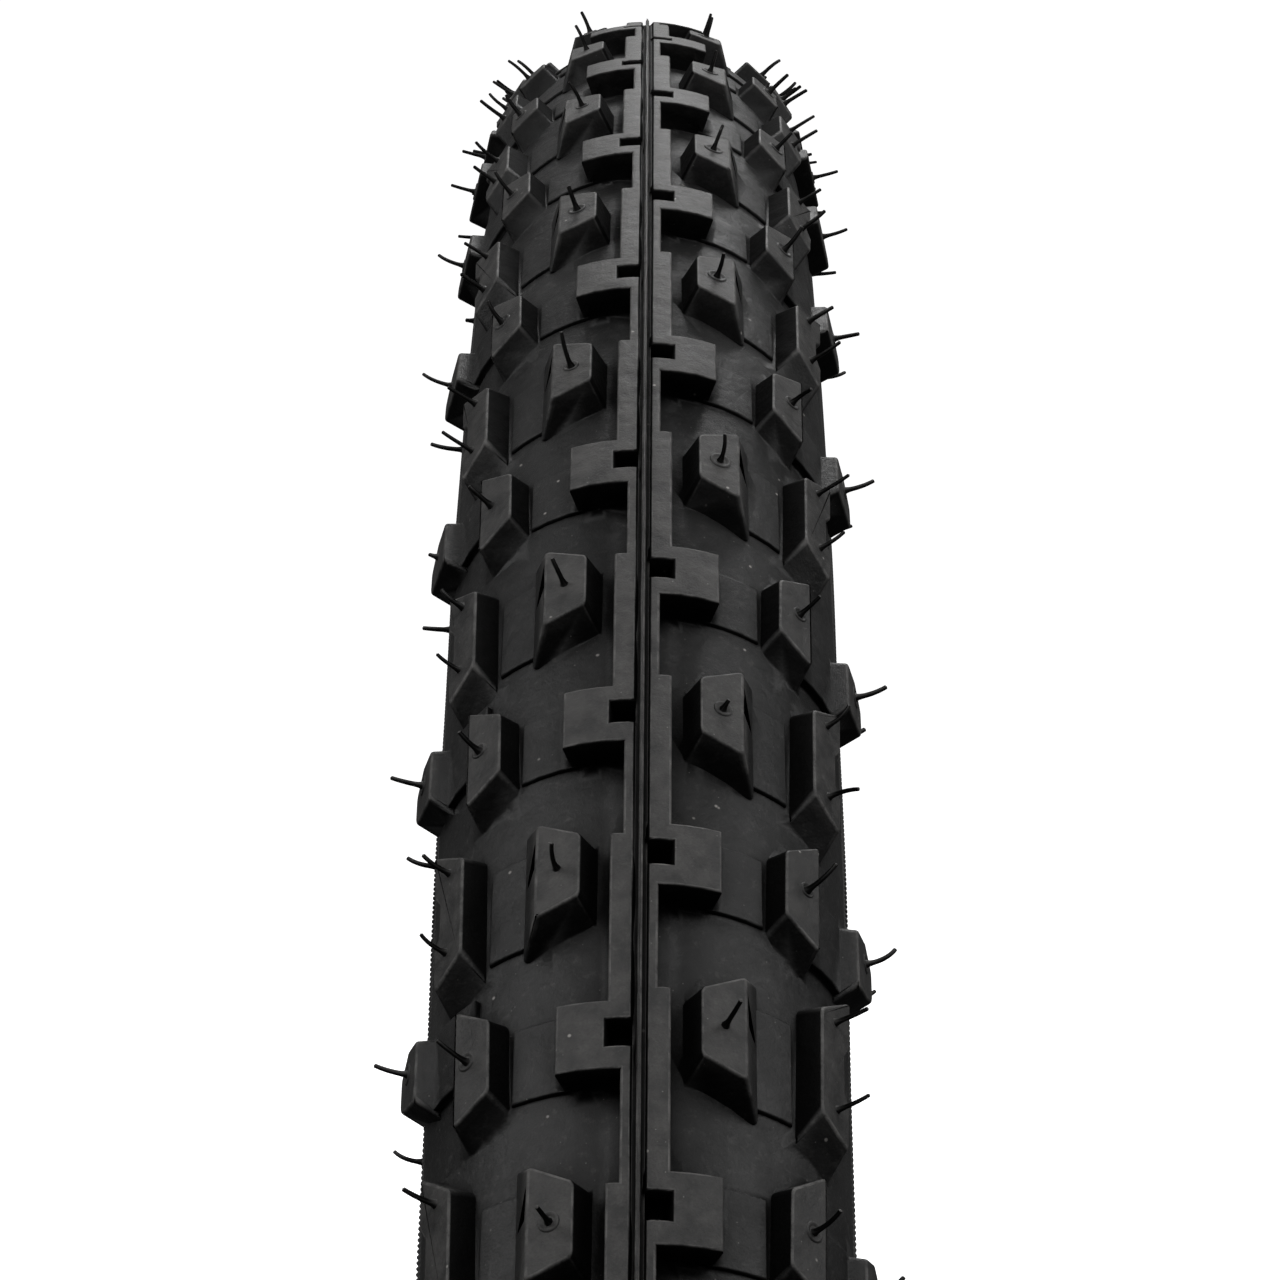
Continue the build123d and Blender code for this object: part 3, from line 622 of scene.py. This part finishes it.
def add_whisker(verts, faces, root, direction, length, row):
    """A whisker that grew out of its vent and took a set as it was pulled from it."""
    outward = Vector((0.0, math.copysign(1.0, root.y), 0.0))
    back = Vector((-root.z, 0.0, root.x)).normalized()
    swing = random.uniform(-0.9, 0.9)
    lean = back * math.cos(swing) + outward * math.sin(swing) * 0.7
    lean = (lean - direction * lean.dot(direction)).normalized()
    if random.random() < BROKEN_SHARE:
        length *= random.uniform(0.25, 0.45)
    else:
        length *= random.uniform(0.82, 1.16) * (1.08 if row == "side" else 1.0)
    bent = random.random() < CURLED_SHARE
    curl = random.uniform(0.1, 1.0) if bent else random.uniform(-0.5, 0.2)
    thick = random.uniform(0.88, 1.08)
    line = whisker_line(root, direction, lean, curl, length)
    while abs(line[-1][0].y) > CAD_BOUNDS[1][1] - WHISKER_MARGIN:
        length *= SHORTENED
        line = whisker_line(root, direction, lean, curl, length)
    for i, (centre, heading, side, at) in enumerate(line):
        radius = whisker_radius(at / MM) * thick * (1.0 - WHISKER_TAPER * at / length) * MM
        add_ring(verts, faces, centre, heading, side, radius, i == 0)
    centre, heading = line[-1][:2]
    verts.append(centre + heading * TIP_POINT)
    tip = len(verts) - 1
    ring = tip - WHISKER_SIDES
    for k in range(WHISKER_SIDES):
        faces.append((ring + k, ring + (k + 1) % WHISKER_SIDES, tip))


def whisker_line(root, direction, lean, curl, length):
    """(centre, heading, side, distance from the root) of each ring, bending towards lean."""
    line = []
    centre = root - direction * WHISKER_ROOT
    heading = direction.copy()
    travelled = 0.0
    for i in range(WHISKER_STEPS + 1):
        share = i / WHISKER_STEPS
        at = share * length
        centre = centre + heading * (at - travelled)
        travelled = at
        turn = curl * share ** 1.3
        heading = (direction * math.cos(turn) + lean * math.sin(turn)).normalized()
        side = (lean * math.cos(turn) - direction * math.sin(turn)).normalized()
        line.append((centre, heading, side, at))
    return line


def whisker_radius(at):
    """Radius in mm at a distance in mm from the root."""
    for (a, ra), (b, rb) in zip(CONE, CONE[1:]):
        if at <= b:
            return ra + (rb - ra) * (at - a) / (b - a)
    return CONE[-1][1]


def add_crater(verts, faces, root, direction):
    """The raised ring that the vent's mouth leaves round a whisker."""
    side = direction.orthogonal().normalized()
    other = direction.cross(side)
    spread = random.uniform(0.8, 1.15)
    base = len(verts)
    for out, up in CRATER:
        for k in range(CRATER_SIDES):
            a = 2 * math.pi * k / CRATER_SIDES
            radial = side * math.cos(a) + other * math.sin(a)
            verts.append(root + radial * out * spread * MM + direction * (up - CRATER_SINK) * MM)
    for ring in range(len(CRATER) - 1):
        for k in range(CRATER_SIDES):
            j = (k + 1) % CRATER_SIDES
            a, b = base + ring * CRATER_SIDES, base + (ring + 1) * CRATER_SIDES
            faces.append((a + k, b + k, b + j, a + j))


def whisker_piece(row, side, material):
    node = f"vent_whiskers_{row}_{side}"
    verts, faces = [], []
    for root, direction, length in whisker_places(node):
        add_whisker(verts, faces, root, direction, length, row)
        if row in CRATER_ROWS and random.random() < CRATER_SHARE:
            add_crater(verts, faces, root, direction)
    mesh = mesh_from(f"whiskers_{row}_{side}", [tuple(v) for v in verts], faces)
    mesh.materials.append(material)
    smooth(mesh, 60.0)
    return new_piece(f"whiskers_{row}_{side}", mesh, "tread_rubber", node)


# ---- ribbed shoulders ------------------------------------------------------------------
RIBS = 3200                  # cords that show through, round the wheel
RIB_DEPTH = 0.28 * MM
BAND_LIFT = 0.03 * MM        # the band lies just over the sidewall
BAND_TUCK = 0.06 * MM        # and its two edges run in under it
# (degrees up from the widest line, share of the ribs' full depth): the cords' cut ends
# stand out sharply along the tread's edge and only faintly below it.
RIB_ROWS = [
    (-22.0, 0.0), (-19.0, 0.3), (-13.0, 0.3), (-8.0, 0.3), (-4.0, 0.3), (0.0, 0.25),
    (1.7, 0.3), (2.4, 1.0), (3.4, 1.0), (4.1, 0.3), (6.5, 0.0),
]


def ribbed_band(side, material):
    """The strip at the tire's widest line where the cords stand out as fine ribs."""
    sign = 1.0 if side == "left" else -1.0
    verts, faces = [], []
    steps = 2 * RIBS
    rows = len(RIB_ROWS)
    for i in range(steps):
        angle = 2 * math.pi * i / steps
        uneven = 0.8 + 0.3 * math.sin(37 * angle) * math.sin(5 * angle)
        proud = RIB_DEPTH * uneven if i % 2 else 0.0
        for heading, share in RIB_ROWS:
            lift = BAND_LIFT + proud * share if share else -BAND_TUCK
            y, radius = on_section(heading, BODY_ARC + lift)
            verts.append((radius * math.cos(angle), sign * y, radius * math.sin(angle)))
        j = (i + 1) % steps
        for k in range(rows - 1):
            quad = (rows * i + k, rows * i + k + 1, rows * j + k + 1, rows * j + k)
            faces.append(quad if sign > 0 else quad[::-1])
    mesh = mesh_from(f"ribbed_band_{side}", verts, faces)
    mesh.materials.append(material)
    smooth(mesh, 60.0)
    return new_piece(f"ribbed_band_{side}", mesh, "sidewall_rubber")


# ---- studio -------------------------------------------------------------------------
WHEEL_RADIUS = 0.332
CAMERA_DISTANCE = 2.14007 * WHEEL_RADIUS
CAMERA_TURN = 0.53803        # the camera's place round the wheel, from +X towards +Z
CAMERA_TILT = 0.35105        # radians that it looks up from the axle
CAMERA_ROLL = 0.00961
CAMERA_YAW = 0.00028
CAMERA_SIDE = -0.00038       # its place across the wheel, in metres
LENS = 127.91
SENSOR = 36.0
NEAREST = 0.02               # metres from the camera, where the view starts


def place_camera():
    """The camera in the wheel's mid plane, looking down past the tread's front."""
    lower = CAMERA_TILT - CAMERA_TURN
    forward = Vector((-math.cos(lower), 0.0, math.sin(lower)))
    up = Vector((math.sin(lower), 0.0, math.cos(lower)))
    right = Vector((0.0, 1.0, 0.0))
    ahead = forward * math.cos(CAMERA_YAW) + right * math.sin(CAMERA_YAW)
    right = right * math.cos(CAMERA_YAW) - forward * math.sin(CAMERA_YAW)
    rolled_right = right * math.cos(CAMERA_ROLL) + up * math.sin(CAMERA_ROLL)
    rolled_up = up * math.cos(CAMERA_ROLL) - right * math.sin(CAMERA_ROLL)
    data = bpy.data.cameras.new("camera")
    data.lens = LENS
    data.sensor_width = SENSOR
    data.clip_start = NEAREST
    camera = bpy.data.objects.new("camera", data)
    turn = Matrix((rolled_right, rolled_up, -ahead)).transposed()
    place = Vector((math.cos(CAMERA_TURN), 0.0, math.sin(CAMERA_TURN))) * CAMERA_DISTANCE
    place.y = CAMERA_SIDE
    camera.matrix_world = Matrix.Translation(place) @ turn.to_4x4()
    bpy.context.scene.collection.objects.link(camera)
    bpy.context.scene.camera = camera


def soft_light(name, place, aim, size, power):
    """A soft box of size metres at a place, aimed at a point."""
    data = bpy.data.lights.new(name, "AREA")
    data.shape = "RECTANGLE"
    data.size, data.size_y = size
    data.energy = power
    light = bpy.data.objects.new(name, data)
    light.location = place
    towards = Vector(aim) - Vector(place)
    light.rotation_euler = towards.to_track_quat("-Z", "Y").to_euler()
    bpy.context.scene.collection.objects.link(light)


FLOOR_REACH = 7.0            # half the floor's length and width, in metres
FLOOR_GAP = 2.5 * MM         # keeps the lowest whiskers clear of the paper
COVE_RADIUS = 1.5            # how gently the floor turns up into the backdrop
COVE_STEPS = 12
HORIZON = 0.05               # height in the sky where its light starts to grow
ZENITH = 0.9                 # and where it is strongest


def backdrop():
    """White paper that lies on the floor and sweeps up behind the tire. The rubber
    neither reflects it nor is lit by it, so it doesn't wash the black out."""
    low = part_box("tread")[0].z - FLOOR_GAP
    line = [(FLOOR_REACH, low)]
    for i in range(COVE_STEPS + 1):
        turn = math.radians(90.0 * i / COVE_STEPS)
        line.append((-FLOOR_REACH + COVE_RADIUS * (1.0 - math.sin(turn)),
                     low + COVE_RADIUS * (1.0 - math.cos(turn))))
    line.append((-FLOOR_REACH, low + FLOOR_REACH))
    verts, faces = [], []
    for x, z in line:
        verts += [(x, -FLOOR_REACH, z), (x, FLOOR_REACH, z)]
    for i in range(len(line) - 1):
        faces.append((2 * i, 2 * i + 1, 2 * i + 3, 2 * i + 2))
    mesh = mesh_from("backdrop", verts, faces)
    mesh.materials.append(floor_paper())
    smooth(mesh, 60.0)
    paper = bpy.data.objects.new("backdrop", mesh)
    bpy.context.scene.collection.objects.link(paper)
    paper.visible_glossy = False
    paper.visible_diffuse = False


def sky(low, high):
    """Dim room light, brighter from above."""
    world = bpy.data.worlds.new("studio")
    bpy.context.scene.world = world
    world.use_nodes = True
    tree = world.node_tree
    place = tree.nodes.new("ShaderNodeTexCoord")
    parts = tree.nodes.new("ShaderNodeSeparateXYZ")
    level = tree.nodes.new("ShaderNodeMapRange")
    tree.links.new(place.outputs["Generated"], parts.inputs[0])
    tree.links.new(parts.outputs[2], level.inputs["Value"])
    level.inputs["From Min"].default_value = HORIZON
    level.inputs["From Max"].default_value = ZENITH
    level.inputs["To Min"].default_value = low
    level.inputs["To Max"].default_value = high
    background = tree.nodes["Background"]
    background.inputs["Color"].default_value = (1.0, 1.0, 1.0, 1.0)
    tree.links.new(level.outputs[0], background.inputs["Strength"])


def studio():
    backdrop()
    sky(0.07, 0.35)
    soft_light("overhead", (0.75, 0.0, 1.95), (0.3, 0.0, 0.2), (1.4, 0.55), 18.0)
    soft_light("behind", (-1.5, 0.2, 1.5), (0.1, 0.0, 0.3), (1.0, 1.0), 20.0)
    for sign in (-1.0, 1.0):
        soft_light("side", (0.1, sign * 1.2, 1.2), (0.27, sign * 0.02, 0.2), (0.8, 0.9), 13.5)
    view = bpy.context.scene.view_settings
    view.view_transform = "Standard"
    view.look = "None"
    view.exposure = 0.0


# ---- the whole model ------------------------------------------------------------------
def paint(node, material):
    """Give a carried-over CAD node its material."""
    slots = NODES[node].material_slots
    if not slots:
        NODES[node].data.materials.append(material)
    for slot in slots:
        slot.material = material


def main():
    rubber = tread_rubber()
    veneer = sidewall_rubber()
    moulded_tread(rubber)
    parting_flash(rubber)
    for row in WHISKER_ROWS:
        for side in SIDES:
            whisker_piece(row, side, rubber)
    chafer = woven("chafer_weave", 0.008, 0.03, 0.5, 0.62, 0.09, 0.1)
    wrap = woven("wrap_weave", 0.02, 0.07, 0.4, 0.7, 0.06, 0.2)
    belt = woven("belt_weave", 0.12, 0.3, 0.7, 0.7, 0.1, 0.2, 0.35)
    filler = filler_rubber()
    wire = bronzed_wire()
    for side in SIDES:
        ribbed_band(side, veneer)
        paint(f"sidewall_rubber_{side}", veneer)
        paint(f"rim_chafer_{side}", chafer)
        paint(f"bead_wrap_{side}", wrap)
        paint(f"bead_filler_{side}", filler)
        paint(f"bead_wires_{side}", wire)
    paint("puncture_belt", belt)
    paint("casing_ply_outer", cord_ply("outer_ply", 1.0, 0.03, 0.075))
    paint("casing_ply_inner", cord_ply("inner_ply", -1.0, 0.022, 0.06))
    studio()
    place_camera()


main()
